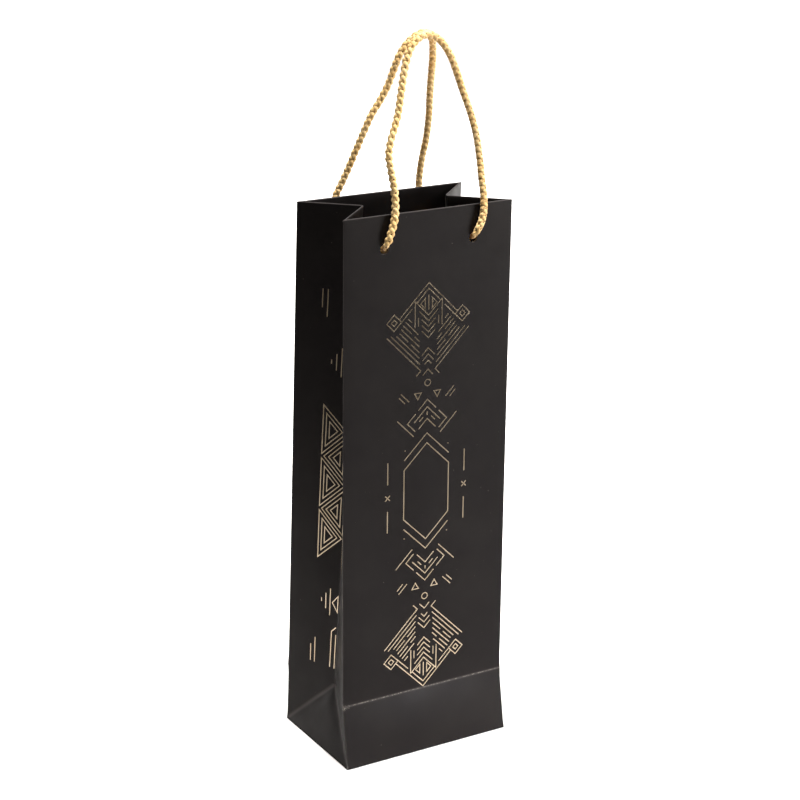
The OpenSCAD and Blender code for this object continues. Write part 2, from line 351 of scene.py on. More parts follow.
def side_sheets(name):
    """The five sheets of one side between their folds."""
    p, c, side = POINTS[name], CREASES[name], SIDES[name]
    return {
        "gusset_rear": Sheet(
            p["rear_fold"], p["rear_top"], p["apex"], p["pleat_top"], -side,
            [c["rear_edge"], c["pleat"], c["rear_line"]], 0.7 * MM, 0.7 * MM, 4,
        ),
        "gusset_front": Sheet(
            p["apex"], p["pleat_top"], p["front_fold"], p["front_top"], -side,
            [c["front_edge"], c["pleat"], c["front_line"]], 0.5 * MM, 0.6 * MM, 5,
        ),
        "gore": Sheet(
            p["rear_foot"], p["apex"], p["front_foot"], p["apex"], -side,
            [c["rear_diagonal"], c["front_diagonal"]], 0.5 * MM, 0.5 * MM, 6,
        ),
        "rear_corner": Sheet(
            p["rear_foot"], p["rear_fold"], p["apex"], p["apex"], -side,
            [c["rear_diagonal"], c["rear_line"], c["rear_edge_low"]],
        ),
        "front_corner": Sheet(
            p["apex"], p["apex"], p["front_foot"], p["front_fold"], -side,
            [c["front_diagonal"], c["front_line"], c["front_edge_low"]],
        ),
    }


SIDE_SHEETS = {name: side_sheets(name) for name in SIDES}


# ---- Meshes ----
def link(name, vertices, faces, materials, shade_smooth=True):
    mesh = bpy.data.meshes.new(name)
    mesh.from_pydata([tuple(v) for v in vertices], [], faces)
    mesh.validate()
    for material in materials:
        mesh.materials.append(material)
    mesh.polygons.foreach_set("use_smooth", [shade_smooth] * len(mesh.polygons))
    made = bpy.data.objects.new(name, mesh)
    bpy.context.scene.collection.objects.link(made)
    return made


def store(made, name, values):
    attribute = made.data.attributes.new(name, "FLOAT", "POINT")
    attribute.data.foreach_set("value", values)


def stations(start, end, step, fine_start=0.0, fine_end=0.0, keep=()):
    """Places from start to end about a step apart, closer together within fine_start and fine_end of the ends.
    Each of `keep` is (low, high, count): a stretch that is cut into exactly that many parts."""
    marks = [start]
    if fine_start:
        marks += [start + fine_start * k / 4 for k in range(1, 5)]
    for low, high, count in sorted(keep):
        marks += spread(marks[-1], low, step)
        marks += [low + (high - low) * k / count for k in range(1, count + 1)]
    last = end - fine_end
    marks += spread(marks[-1], last, step)
    if fine_end:
        marks += [last + fine_end * k / 4 for k in range(1, 5)]
    return marks


def spread(start, end, step):
    count = max(1, round((end - start) / step))
    return [start + (end - start) * k / count for k in range(1, count + 1)]


class Grid:
    """Points p, q of a sheet and the faces between them, with round holes let in."""

    def __init__(self, ps, qs, holes=()):
        self.points, self.faces, self.index = [], [], {}
        for i in range(len(ps) - 1):
            for j in range(len(qs) - 1):
                mid = ((ps[i] + ps[i + 1]) / 2, (qs[j] + qs[j + 1]) / 2)
                if any(self.within(mid, hole) for hole in holes):
                    continue
                ring = [(ps[i], qs[j]), (ps[i + 1], qs[j]), (ps[i + 1], qs[j + 1]), (ps[i], qs[j + 1])]
                self.faces.append([self.add(p) for p in ring])
        for hole in holes:
            self.cut(ps, qs, *hole)

    @staticmethod
    def within(point, hole):
        centre, _, half = hole
        return abs(point[0] - centre[0]) < half and abs(point[1] - centre[1]) < half

    def add(self, point):
        key = (round(point[0], 7), round(point[1], 7))
        if key not in self.index:
            self.index[key] = len(self.points)
            self.points.append(point)
        return self.index[key]

    def cut(self, ps, qs, centre, radius, half):
        """Joins the square border round a hole to its circle."""
        cols = [p for p in ps if abs(p - centre[0]) < half + 1e-6]
        rows = [q for q in qs if abs(q - centre[1]) < half + 1e-6]
        border = [(p, rows[0]) for p in cols[:-1]] + [(cols[-1], q) for q in rows[:-1]]
        border += [(p, rows[-1]) for p in cols[:0:-1]] + [(cols[0], q) for q in rows[:0:-1]]
        rings = [border]
        for share in (0.5, 0.15, 0.0):
            ring = []
            for p, q in border:
                out = Vector((p - centre[0], q - centre[1]))
                circle = out.normalized() * radius
                at = circle.lerp(out, share)
                ring.append((centre[0] + at.x, centre[1] + at.y))
            rings.append(ring)
        for outer, inner in zip(rings, rings[1:]):
            for k in range(len(outer)):
                after = (k + 1) % len(outer)
                corners = [outer[k], outer[after], inner[after], inner[k]]
                self.faces.append([self.add(p) for p in corners])


def shell(name, grid, place, side, worn):
    """A closed sheet of paper: its outer face is place(p, q) over the grid, and worn(p, q) says how folded and how
    rubbed it is there."""
    places, merged, unique = [], [], {}
    for p, q in grid.points:
        at = place(p, q)
        key = tuple(round(x, 8) for x in at)
        if key not in unique:
            unique[key] = len(places)
            places.append((at, worn(p, q)))
        merged.append(unique[key])
    faces = []
    for face in grid.faces:
        ring = [merged[k] for k in face]
        ring = [k for n, k in enumerate(ring) if k != ring[n - 1]]
        if len(ring) >= 3:
            faces.append(ring if side > 0 else ring[::-1])
    normals = [Vector((0, 0, 0)) for _ in places]
    for face in faces:
        a, b, c = (places[k][0] for k in (face[0], face[1], face[-1]))
        cross = (b - a).cross(c - a)
        for k in face:
            normals[k] += cross
    outer = [at for at, _ in places]
    inner = [at - n.normalized() * PAPER for (at, _), n in zip(places, normals)]
    count = len(outer)
    edges = {}
    for face in faces:
        for k in range(len(face)):
            edges[(face[k - 1], face[k])] = True
    rim = [(a, b) for a, b in edges if (b, a) not in edges]
    solid = list(faces) + [[k + count for k in face[::-1]] for face in faces]
    solid += [[b, a, a + count, b + count] for a, b in rim]
    made = link(name, outer + inner, solid, (PAPER_OUTER, PAPER_INNER, CUT_EDGE))
    kinds = [0] * len(faces) + [1] * len(faces) + [2] * len(rim)
    made.data.polygons.foreach_set("material_index", kinds)
    made.data.polygons.foreach_set("use_smooth", [kind < 2 for kind in kinds])
    store(made, "folded", [wear[0] for _, wear in places] * 2)
    store(made, "rubbed", [wear[1] for _, wear in places] * 2)
    sharpen_rim(made, rim, count)
    return made


def sharpen_rim(made, rim, count):
    """Keeps the cut edge's corners crisp, so that the two faces shade on their own."""
    corners = {frozenset(pair) for pair in rim} | {frozenset((a + count, b + count)) for a, b in rim}
    for edge in made.data.edges:
        if frozenset(edge.vertices) in corners:
            edge.use_edge_sharp = True


def tube(ring_sets):
    """Vertices and faces of closed tubes, one for each list of rings."""
    vertices, faces = [], []
    for rings in ring_sets:
        base, k = len(vertices), len(rings[0])
        for ring in rings:
            vertices += ring
        for i in range(len(rings) - 1):
            for j in range(k):
                a, b = base + i * k + j, base + i * k + (j + 1) % k
                faces.append([a, b, b + k, a + k])
        faces.append([base + j for j in range(k)][::-1])
        faces.append([base + (len(rings) - 1) * k + j for j in range(k)])
    return vertices, faces


# ---- Materials ----
def shader(name, roughness, metallic=0.0):
    material = bpy.data.materials.new(name)
    material.use_nodes = True
    tree = material.node_tree
    bsdf = tree.nodes["Principled BSDF"]
    bsdf.inputs["Roughness"].default_value = roughness
    bsdf.inputs["Metallic"].default_value = metallic
    return material, tree, bsdf


def coordinates(tree):
    return tree.nodes.new("ShaderNodeTexCoord").outputs["Object"]


def noise_node(tree, vector, scale, detail=3.0, roughness=0.55):
    node = tree.nodes.new("ShaderNodeTexNoise")
    node.inputs["Scale"].default_value = scale
    node.inputs["Detail"].default_value = detail
    node.inputs["Roughness"].default_value = roughness
    tree.links.new(vector, node.inputs["Vector"])
    return node.outputs["Fac"]


def ramp(tree, value, low, high, out_low=0.0, out_high=1.0):
    """value from low to high becomes out_low to out_high, held beyond both."""
    node = tree.nodes.new("ShaderNodeMapRange")
    node.interpolation_type = "SMOOTHSTEP"
    for socket, number in zip(("From Min", "From Max", "To Min", "To Max"), (low, high, out_low, out_high)):
        node.inputs[socket].default_value = number
    tree.links.new(value, node.inputs["Value"])
    return node.outputs["Result"]


def maths(tree, operation, a, b):
    node = tree.nodes.new("ShaderNodeMath")
    node.operation = operation
    for socket, value in zip(node.inputs, (a, b)):
        if isinstance(value, (int, float)):
            socket.default_value = value
        else:
            tree.links.new(value, socket)
    return node.outputs[0]


def blend_colour(tree, share, a, b):
    node = tree.nodes.new("ShaderNodeMix")
    node.data_type = "RGBA"
    tree.links.new(share, node.inputs["Factor"])
    for name, value in (("A", a), ("B", b)):
        socket = [s for s in node.inputs if s.name == name and s.type == "RGBA"][0]
        if isinstance(value, tuple):
            socket.default_value = (*value, 1)
        else:
            tree.links.new(value, socket)
    return [s for s in node.outputs if s.type == "RGBA"][0]


def attribute(tree, name):
    node = tree.nodes.new("ShaderNodeAttribute")
    node.attribute_name = name
    return node.outputs["Fac"]


def bump(tree, bsdf, height, strength, distance, after=None):
    node = tree.nodes.new("ShaderNodeBump")
    node.inputs["Strength"].default_value = strength
    node.inputs["Distance"].default_value = distance
    tree.links.new(height, node.inputs["Height"])
    if after is not None:
        tree.links.new(after, node.inputs["Normal"])
    tree.links.new(node.outputs["Normal"], bsdf.inputs["Normal"])
    return node.outputs["Normal"]


def colour(hex_text):
    """Scene-linear colour of a hexadecimal sRGB one."""
    parts = [int(hex_text[k:k + 2], 16) / 255 for k in (1, 3, 5)]
    return tuple(c / 12.92 if c <= 0.04045 else ((c + 0.055) / 1.055) ** 2.4 for c in parts)


def laminated_paper(name, dark, light, pressed_colour, worn_colour):
    """Matt film over black print: cloudy, faintly dented and lightly scuffed, with paler folds that crack in places."""
    material, tree, bsdf = shader(name, 0.45)
    bsdf.inputs["Specular IOR Level"].default_value = 0.1
    bsdf.inputs["Specular Tint"].default_value = (1.0, 0.93, 0.9, 1)
    where = coordinates(tree)
    cloud = noise_node(tree, where, 22, 4)
    base = blend_colour(tree, ramp(tree, cloud, 0.35, 0.7), dark, light)
    speck = ramp(tree, noise_node(tree, where, 520, 2), 0.76, 0.8, 0, 0.25)
    base = blend_colour(tree, speck, base, worn_colour)
    folded = attribute(tree, "folded")
    base = blend_colour(tree, ramp(tree, folded, 0.1, 0.5, 0, 0.6), base, pressed_colour)
    ragged = maths(tree, "MULTIPLY", noise_node(tree, where, 620, 5, 0.8), 1.3)
    wear = maths(tree, "ADD", maths(tree, "MAXIMUM", folded, attribute(tree, "rubbed")), ragged)
    base = blend_colour(tree, ramp(tree, wear, 1.3, 1.48, 0, 0.75), base, worn_colour)
    tree.links.new(base, bsdf.inputs["Base Color"])
    tree.links.new(ramp(tree, noise_node(tree, where, 60, 5), 0.3, 0.75, 0.38, 0.5), bsdf.inputs["Roughness"])
    dents = bump(tree, bsdf, noise_node(tree, where, 34, 2), 0.35, 0.4 * MM)
    bump(tree, bsdf, noise_node(tree, where, 2600, 2), 0.12, 0.02 * MM, dents)
    return material


def plain_paper(name, dark, light, grain=900):
    """Uncoated paper or grey board, with fibres and faint speckles."""
    material, tree, bsdf = shader(name, 0.85)
    where = coordinates(tree)
    fibre = noise_node(tree, where, grain, 5, 0.7)
    cloud = noise_node(tree, where, 45, 3)
    mixed = maths(tree, "ADD", maths(tree, "MULTIPLY", fibre, 0.5), maths(tree, "MULTIPLY", cloud, 0.5))
    tree.links.new(blend_colour(tree, ramp(tree, mixed, 0.38, 0.62), dark, light), bsdf.inputs["Base Color"])
    tree.links.new(ramp(tree, fibre, 0.3, 0.7, 0.75, 0.95), bsdf.inputs["Roughness"])
    bump(tree, bsdf, fibre, 0.4, 0.05 * MM)
    return material


def stamped_foil():
    """Hot-stamped gold foil: bright, a little uneven, thinner where the paper's grain shows through."""
    material, tree, bsdf = shader("gold_foil", 0.15, 1.0)
    where = coordinates(tree)
    tone = ramp(tree, noise_node(tree, where, 90, 3), 0.3, 0.7)
    base = blend_colour(tree, tone, colour("#b2a187"), colour("#c3b39c"))
    tree.links.new(base, bsdf.inputs["Base Color"])
    tree.links.new(ramp(tree, noise_node(tree, where, 400, 3), 0.3, 0.7, 0.1, 0.2), bsdf.inputs["Roughness"])
    bump(tree, bsdf, noise_node(tree, where, 1400, 2), 0.2, 0.03 * MM)
    return material


def braided_cord():
    """Twisted yarn in each strand: fine slanting threads with painted shade between them, painted shade in the grooves
    between the strands and near the ends where the cord goes into its holes, and a soft sheen.
    """
    material, tree, bsdf = shader("plaited_cord", 0.6)
    bsdf.inputs["Sheen Weight"].default_value = 0.2
    bsdf.inputs["Sheen Roughness"].default_value = 0.4
    round_it, along = attribute(tree, "round"), attribute(tree, "along")
    slant = maths(tree, "ADD", maths(tree, "MULTIPLY", round_it, 7.0), maths(tree, "MULTIPLY", along, 2600.0))
    thread = maths(tree, "SINE", maths(tree, "MULTIPLY", slant, 2 * math.pi), 0.0)
    where = coordinates(tree)
    fuzz = noise_node(tree, where, 1500, 3, 0.7)
    hollow = maths(tree, "ADD", maths(tree, "MULTIPLY", thread, 0.3), fuzz)
    patch = noise_node(tree, where, 120, 3)
    lit = blend_colour(tree, ramp(tree, patch, 0.35, 0.7), colour("#f0c47e"), colour("#ffdc9f"))
    # Painted shade between the threads: a darker tone where the thread pattern dips, and the lit tones on the threads
    # themselves.
    base = blend_colour(tree, ramp(tree, hollow, 0.05, 0.6), colour("#dbb066"), lit)
    # Painted shade in the grooves between the strands: darker where the surface lies nearer the cord's middle line.
    groove_shade = ramp(tree, attribute(tree, "outside"), 0.3, 0.44)
    base = blend_colour(tree, groove_shade, colour("#94692f"), base)
    # Painted shade where the cord goes into its hole: darker brown over the last few millimetres of each end.
    hole_shade = maths(tree, "MULTIPLY", attribute(tree, "hole_shade"), 0.8)
    tree.links.new(blend_colour(tree, hole_shade, base, colour("#8a5526")), bsdf.inputs["Base Color"])
    bump(tree, bsdf, hollow, 0.5, 0.1 * MM)
    return material


PAPER_OUTER = laminated_paper(
    "laminated_paper", colour("#141111"), colour("#181514"), colour("#45403e"), colour("#8d857a"),
)
PAPER_INNER = plain_paper("uncoated_paper", colour("#121011"), colour("#191718"))
CUT_EDGE = plain_paper("cut_edge", colour("#4a4744"), colour("#625e59"), 1500)
BOARD = plain_paper("grey_board", colour("#8b7f70"), colour("#a59988"), 700)
FOIL = stamped_foil()
CORD = braided_cord()


# ---- Paper pieces ----
HOLE_PATCH = 6 * MM
HOLE_CELLS = 8
HOLE_COLUMNS = [(x - HOLE_PATCH, x + HOLE_PATCH, HOLE_CELLS) for x in (-HOLE_X, HOLE_X)]
GRID_STEP = 5 * MM
EDGE_FINE = 0.9 * MM


def placed(piece, body, node):
    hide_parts(node)
    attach(piece, body)


def hole_rows(at):
    return [(at - HOLE_PATCH, at + HOLE_PATCH, HOLE_CELLS)]


def cord_holes(at):
    return [((x, at), HOLE_R, HOLE_PATCH) for x in (-HOLE_X, HOLE_X)]


def wall_grid(low, high, fine_low=0.0, fine_high=0.0, hole_up=None):
    """A grid across the whole wall, with its two cord holes when hole_up is given."""
    across_keep, up_keep, holes = [], [], []
    if hole_up is not None:
        across_keep, up_keep, holes = HOLE_COLUMNS, hole_rows(hole_up), cord_holes(hole_up)
    across = stations(-HALF_W, HALF_W, GRID_STEP, EDGE_FINE, EDGE_FINE, across_keep)
    up = stations(low, high, GRID_STEP, fine_low, fine_high, up_keep)
    return Grid(across, up, holes)


def wall_piece(name, body, wall, sheet, grid):
    def share(across, up):
        return (across + HALF_W) / (2 * HALF_W), up / wall.length

    piece = shell(
        f"{name}_paper", grid, lambda p, q: sheet.point(*share(p, q)), sheet.side,
        lambda p, q: sheet.worn(*share(p, q)),
    )
    placed(piece, body, name)


def make_walls():
    fold = HEM_DEPTH / 2
    wall_piece(
        "front_panel", "front_wall", FRONT, FRONT_SHEET,
        wall_grid(0, FRONT.length - fold, 1.0 * MM, 0.0, FRONT.length - HOLE_DROP),
    )
    wall_piece(
        "back_panel", "back_wall", BACK, BACK_SHEET,
        wall_grid(0.1 * MM, BACK.length - fold, 0.0, 0.0, BACK.length - HOLE_DROP),
    )
    wall_piece("front_band", "band", BAND, BAND_SHEET, wall_grid(0.1 * MM, BAND.length, 0.0, 1.0 * MM))


BEND_STEPS = 8
HEM_GAP = 0.1 * MM
WALL_MITRE = 1.15


def bend_places(bend):
    return [bend * k / BEND_STEPS for k in range(BEND_STEPS + 1)]


def wall_hem(name, body, wall, side):
    """The sheet's top edge, folded over the board strip and down inside the mouth, mitred at its corners."""
    radius = HEM_DEPTH / 2
    bend = math.pi * radius
    hole_along = bend + HOLE_DROP - radius
    across = stations(-HALF_W, HALF_W, GRID_STEP, keep=HOLE_COLUMNS)
    along = bend_places(bend)
    along += stations(bend, bend + HEM_H - radius, GRID_STEP, keep=hole_rows(hole_along))[1:]
    grid = Grid(across, along, cord_holes(hole_along))

    def place(x, s):
        if s < bend:
            turn = s / radius
            depth, up = radius * (1 - math.cos(turn)), wall.length - radius + radius * math.sin(turn)
        else:
            depth, up = HEM_DEPTH, wall.length - radius - (s - bend)
        half = HALF_W - HEM_GAP - WALL_MITRE * depth
        squeeze = smooth((abs(x) - HOLE_X - HOLE_PATCH) / (HALF_W - HOLE_X - HOLE_PATCH))
        return wall.at(x * (1 + (half / HALF_W - 1) * squeeze), depth, up)

    def worn(x, s):
        return 0.55 * max(0.0, math.sin(min(1, s / bend) * math.pi)), 0.0

    placed(shell(f"{name}_paper", grid, place, side, worn), body, name)


def flatten(piece):
    """Gives a side piece its own copy of its mesh."""
    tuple(BACK.inward)
    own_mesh(piece)


SIDE_FINE = 0.04
GUSSET_H = BAG_H - CREASE_Z


def side_grid(tall):
    """A grid in u and v with narrow rows at the rounded folds. The tall sheets stop at their turned edge."""
    if tall:
        top = 1 - GUSSET_HEM_DEPTH / 2 / GUSSET_H
        return Grid(stations(0, 1, 1 / 9, SIDE_FINE, SIDE_FINE), [v * top for v in stations(0, 1, 1 / 60, 0.008)])
    even = stations(0, 1, 1 / 12, SIDE_FINE, SIDE_FINE)
    return Grid(even, even)


def make_sides():
    for name in SIDES:
        for kind, sheet in SIDE_SHEETS[name].items():
            grid = side_grid(kind.startswith("gusset"))
            piece = shell(f"{name}_{kind}_paper", grid, sheet.point, sheet.side, sheet.worn)
            placed(piece, "back_wall", f"{name}_{kind}")
            flatten(piece)
        gusset_hem(name)


GUSSET_KINDS = (("gusset_rear", 1), ("gusset_front", 0))
CORNER_MITRE, PLEAT_MITRE = 0.9, 3.4


def gusset_hem(name):
    """The two gusset halves' top edges, turned in and down, mitred at the pleat and at the corners."""
    radius = GUSSET_HEM_DEPTH / 2
    bend = math.pi * radius
    reach = HEM_H - 2 * MM
    along = bend_places(bend) + stations(bend, bend + reach, 4 * MM)[1:]
    us = stations(0, 1, 1 / 9, SIDE_FINE, SIDE_FINE)
    parts = []
    for kind, pleat_at in GUSSET_KINDS:
        sheet = SIDE_SHEETS[name][kind]

        def place(u, s, sheet=sheet, pleat_at=pleat_at):
            turn = min(math.pi, s / radius)
            depth = radius * (1 - math.cos(turn))
            down = radius - radius * math.sin(turn) + max(0.0, s - bend)
            width = (sheet.flat(1, 1) - sheet.flat(0, 1)).length
            from_pleat = (1 - u) if pleat_at else u
            pull = -CORNER_MITRE * depth * (1 - from_pleat) + PLEAT_MITRE * depth * from_pleat
            moved = u + (pull if pleat_at else -pull) / width
            return sheet.point(moved, 1 - down / GUSSET_H, -depth)

        parts.append((Grid(us, along), place, sheet.side))
    piece = joined_shells(f"{name}_gusset_hem_paper", parts)
    placed(piece, "back_wall", f"{name}_gusset_hem")
    flatten(piece)


def joined_shells(name, parts):
    """One piece from several turned edges, each a grid, where it lies and which way it faces."""
    def worn(u, s):
        return 0.5 * max(0.0, 1 - s / (3 * MM)), 0.0

    pieces = [shell(f"{name}_{n}", grid, place, side, worn) for n, (grid, place, side) in enumerate(parts)]
    with bpy.context.temp_override(active_object=pieces[0], selected_editable_objects=pieces):
        bpy.ops.object.join()
    pieces[0].name = name
    pieces[0].data.name = name
    return pieces[0]


# ---- Foil ----
FOIL_W = 0.66
FOIL_LIFT = 0.05 * MM
FOIL_SINK = -0.06 * MM
FOIL_STEP = 4.0
ART_Z = 178.5


def foil_outline(stroke, closed):
    """Left and right edge points of a stroke, mitred at its corners, with long parts cut into shorter ones."""
    points = []
    count = len(stroke) if closed else len(stroke) - 1
    for k in range(count):
        a, b = Vector(stroke[k]), Vector(stroke[(k + 1) % len(stroke)])
        cuts = max(1, math.ceil((b - a).length / FOIL_STEP))
        points += [a.lerp(b, n / cuts) for n in range(cuts)]
    if not closed:
        points.append(Vector(stroke[-1]))
    left, right = [], []
    for k, here in enumerate(points):
        before = points[k - 1] if closed or k else None
        after = points[(k + 1) % len(points)] if closed or k < len(points) - 1 else None
        ways = [(here - before).normalized()] if before is not None else []
        ways += [(after - here).normalized()] if after is not None else []
        normals = [Vector((-way.y, way.x)) for way in ways]
        middle = sum(normals, Vector((0, 0))).normalized()
        reach = FOIL_W / 2 / max(0.35, middle.dot(normals[0]))
        left.append(here + middle * reach)
        right.append(here - middle * reach)
    return left, right


def foil_piece(name, strokes, place, body, squashed=False):
    """Thin raised ribbons along strokes, each (points in millimetres, closed), laid on a sheet by place(x, z, lift)."""
    vertices, faces = [], []
    for stroke, closed in strokes:
        left, right = foil_outline(stroke, closed)
        base, count = len(vertices), len(left)
        for a, b in zip(left, right):
            vertices += [place(*a, FOIL_LIFT), place(*b, FOIL_LIFT), place(*b, FOIL_SINK), place(*a, FOIL_SINK)]
        for k in range(count if closed else count - 1):
            here, after = base + 4 * k, base + 4 * ((k + 1) % count)
            for j in range(4):
                n = (j + 1) % 4
                faces.append([here + j, here + n, after + n, after + j])
        if not closed:
            last = base + 4 * (count - 1)
            faces.append([base + 3, base + 2, base + 1, base])
            faces.append([last, last + 1, last + 2, last + 3])
    piece = link(name, vertices, faces, [FOIL], shade_smooth=False)
    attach(piece, body)
    if squashed:
        flatten(piece)


def twin(strokes):
    """The strokes and their mirror images across the middle line."""
    return strokes + [([(-x, z) for x, z in stroke], closed) for stroke, closed in strokes]


def moved_strokes(strokes, dz=0.0, flip=1):
    return [([(x, flip * z + dz) for x, z in stroke], closed) for stroke, closed in strokes]


def ring(x, z, radius, sides=16):
    turn = 2 * math.pi / sides
    return ([(x + radius * math.cos(turn * k), z + radius * math.sin(turn * k)) for k in range(sides)], True)


def dot(x, z):
    return ([(x - 0.35, z), (x + 0.35, z)], False)


def lozenge(x, z, half):
    return ([(x, z + half), (x + half, z), (x, z - half), (x - half, z)], True)


def chevron(apex, half, rise=1.0):
    """A line up to apex and down again: an upside-down V, or a V where rise is negative."""
    return ([(-half, apex - rise * half), (0, apex), (half, apex - rise * half)], False)


def medallion():
    """A diamond 60 mm high, filled with nested lines and slanting bars, between two nested lozenges."""
    strokes = [chevron(30, 21), chevron(26.4, 8.6), ([(0, 22.4), (0, 12.8)], False)]
    strokes += [([(-x, bottom + x), (0, bottom), (x, bottom + x)], False) for bottom, x in CENTRE_VS]
    strokes += [chevron(-11.6, 4.6), chevron(-15.6, 4.0), chevron(-19.6, 2.4), chevron(-25.4, 3.6)]
    strokes += twin([
        ([(2.6, 13.8), (2.6, 20.2), (5.8, 17.0)], True),
        ([(9.6, 19.0), (9.6, 2.2)], False),
        ([(7.2, 8.6), (7.2, 3.0)], False),
        ([(11.6, 14.8), (20.2, 6.2)], False),
        ([(29.4, -1.6), (5.2, -25.8), (8.4, -29.0)], False),
        ([(26.6, -0.8), (5.8, -21.6)], False),
        lozenge(24.4, 7.4, 5.2), lozenge(24.4, 7.4, 2.0),
    ])
    strokes += twin([([(low, low - drop), (high, high - drop)], False) for drop, low, high in SIDE_BARS])
    return strokes


# The V-shaped lines in the medallion's middle: each one's lowest point and half width
CENTRE_VS = [(9.4, 9.6), (5.8, 6.8), (2.2, 4.8), (-1.4, 4.8), (-5.0, 4.8)]
# The slanting bars on its right side: how far each line drops below the diagonal, and where it runs across
SIDE_BARS = [
    (23.8, 6.4, 22.6), (20.2, 6.4, 12.4), (20.2, 14.4, 20.4), (16.6, 6.4, 19.4), (13.0, 6.2, 9.8),
    (13.0, 11.8, 18.0), (9.4, 7.2, 16.2), (5.8, 11.8, 14.4),
]


MEDALLION_Z = 106.1


def half_art():
    """The upper half of the wall's print, with z measured up from its middle."""
    strokes = [chevron(38.9, 16.3, 0.975)]
    strokes += [chevron(61, 6.4), chevron(56.2, 9.4), chevron(48.4, 6.2)]
    strokes += twin([
        ([(8.4, 52.6), (14.2, 46.8), (8.6, 41.2)], False),
        ([(9.6, 37.9), (21.5, 49.8)], False),
        ([(2.9, 49.8), (5.6, 47.1)], False),
        ([(28, 8.9), (28, 23.5)], False),
        dot(15.7, 29.5),
        ([(4.6, 65.9), (9.4, 65.9), (7.0, 61.8)], True),
        ([(13.2, 61.2), (19.2, 67.2)], False),
        ([(16.2, 60.6), (20.4, 64.8)], False),
    ])
    strokes += [([(0, 53), (0, 50.8)], False), ring(0, 72, 2.1)]
    strokes += moved_strokes(medallion(), MEDALLION_Z)
    return strokes


def wall_art():
    """The whole print on a wall: a tall hexagon and two crosses between the two halves."""
    top, side, half = 32.4, 16.5, 16.3
    strokes = [([(0, top), (half, side), (half, -side), (0, -top), (-half, -side), (-half, side)], True)]
    cross = 1.7
    strokes += twin([
        ([(28 - cross, -cross), (28 + cross, cross)], False),
        ([(28 - cross, cross), (28 + cross, -cross)], False),
    ])
    upper = half_art()
    return moved_strokes(strokes + upper + moved_strokes(upper, flip=-1), dz=ART_Z)


def nested_triangles(base_u, tip_u, z, count):
    """Triangles inside each other, with their upright side at base_u and their tips towards tip_u."""
    strokes = []
    way = 1 if tip_u > base_u else -1
    for k in range(count):
        depth = abs(tip_u - base_u) - 5.6 * k
        at, half = base_u + way * 2.3 * k, depth * 0.96
        strokes.append(([(at, z + half), (at + way * depth, z), (at, z - half)], True))
    return strokes


def gusset_art():
    """Print on half a gusset: x is the distance from the pleat, and z is measured up from the middle."""
    strokes = []
    for z in (-35.6, 0, 35.6):
        strokes += nested_triangles(18.6, 1.6, z, 3)
    for z in (-17.8, 17.8):
        strokes += nested_triangles(0.9, 17.0, z, 3)
    end_bars = [
        ([(22.4, 115.4), (22.4, 127.5)], False), ([(18.9, 109.6), (18.9, 127.5)], False),
        ([(14.6, 79.6), (14.6, 82.4)], False), ([(11.2, 75.6), (11.2, 86.4)], False),
        ([(7.8, 71.6), (7.8, 90.4)], False), ([(1.6, 75.4), (1.6, 86.6), (6.0, 81.0)], True),
        ([(1.9, 97.4), (5.6, 101.1), (5.6, 126.4)], False), ([(1.9, 102.6), (1.9, 126.4)], False),
    ]
    return strokes + end_bars + moved_strokes(end_bars, flip=-1)


# The front half of a gusset has no print lower than this below the print's middle
FRONT_HALF_FOOT = -56


def make_foil():
    art = wall_art()

    def on_wall(wall, sheet):
        def place(x, z, lift):
            up = (z * MM - wall.foot.z) / wall.up.z
            return sheet.point((x * MM + HALF_W) / (2 * HALF_W), up / wall.length, lift)
        return place

    foil_piece("front_foil", art, on_wall(FRONT, FRONT_SHEET), "front_wall")
    foil_piece("back_foil", art, on_wall(BACK, BACK_SHEET), "back_wall")
    for name in SIDES:
        for kind, pleat_at in GUSSET_KINDS:
            sheet = SIDE_SHEETS[name][kind]

            def place(x, z, lift, sheet=sheet, pleat_at=pleat_at):
                v = ((z + ART_Z) * MM - CREASE_Z) / GUSSET_H
                width = (sheet.flat(1, v) - sheet.flat(0, v)).length
                u = x * MM / width
                return sheet.point(1 - u if pleat_at else u, v, lift)

            printed = [part for part in gusset_art() if pleat_at or min(z for _, z in part[0]) > FRONT_HALF_FOOT]
            foil_piece(f"{name}_{kind}_foil", printed, place, "back_wall", squashed=True)


# ---- Cords ----
STRANDS = 4
STRAND_SIDES = 12
PLAIT_PITCH = 1.66
RINGS_PER_PITCH = 28
PINCH = 0.58
PINCH_LENGTH = 9 * MM
# How far from each end the cord is painted darker, as shade where it goes into its hole
HOLE_SHADE_LENGTH = 6 * MM


def curve_through(points, step):
    """Points an even step apart on a smooth line through the given ones."""
    fine = []
    for k in range(len(points) - 1):
        p0 = points[max(k - 1, 0)]
        p1, p2 = points[k], points[k + 1]
        p3 = points[min(k + 2, len(points) - 1)]
        for n in range(12):
            t = n / 12
            fine.append(
                0.5 * (2 * p1 + (p2 - p0) * t + (2 * p0 - 5 * p1 + 4 * p2 - p3) * t * t
                       + (3 * p1 - p0 - 3 * p2 + p3) * t ** 3)
            )
    fine.append(points[-1])
    total = [0.0]
    for a, b in zip(fine, fine[1:]):
        total.append(total[-1] + (b - a).length)
    count = round(total[-1] / step)
    evened, k = [], 0
    for n in range(count + 1):
        want = total[-1] * n / count
        while k < len(fine) - 2 and total[k + 1] < want:
            k += 1
        share = (want - total[k]) / max(1e-12, total[k + 1] - total[k])
        evened.append(fine[k].lerp(fine[k + 1], min(1.0, share)))
    return evened, total[-1]


def carried_frames(line):
    """A direction along the line and two across it at each point, carried without twist."""
    frames = []
    across = Vector((1, 0, 0))
    for k in range(len(line)):
        along = (line[min(k + 1, len(line) - 1)] - line[max(k - 1, 0)]).normalized()
        across = (across - along * across.dot(along)).normalized()
        frames.append((along, across, along.cross(across)))
    return frames


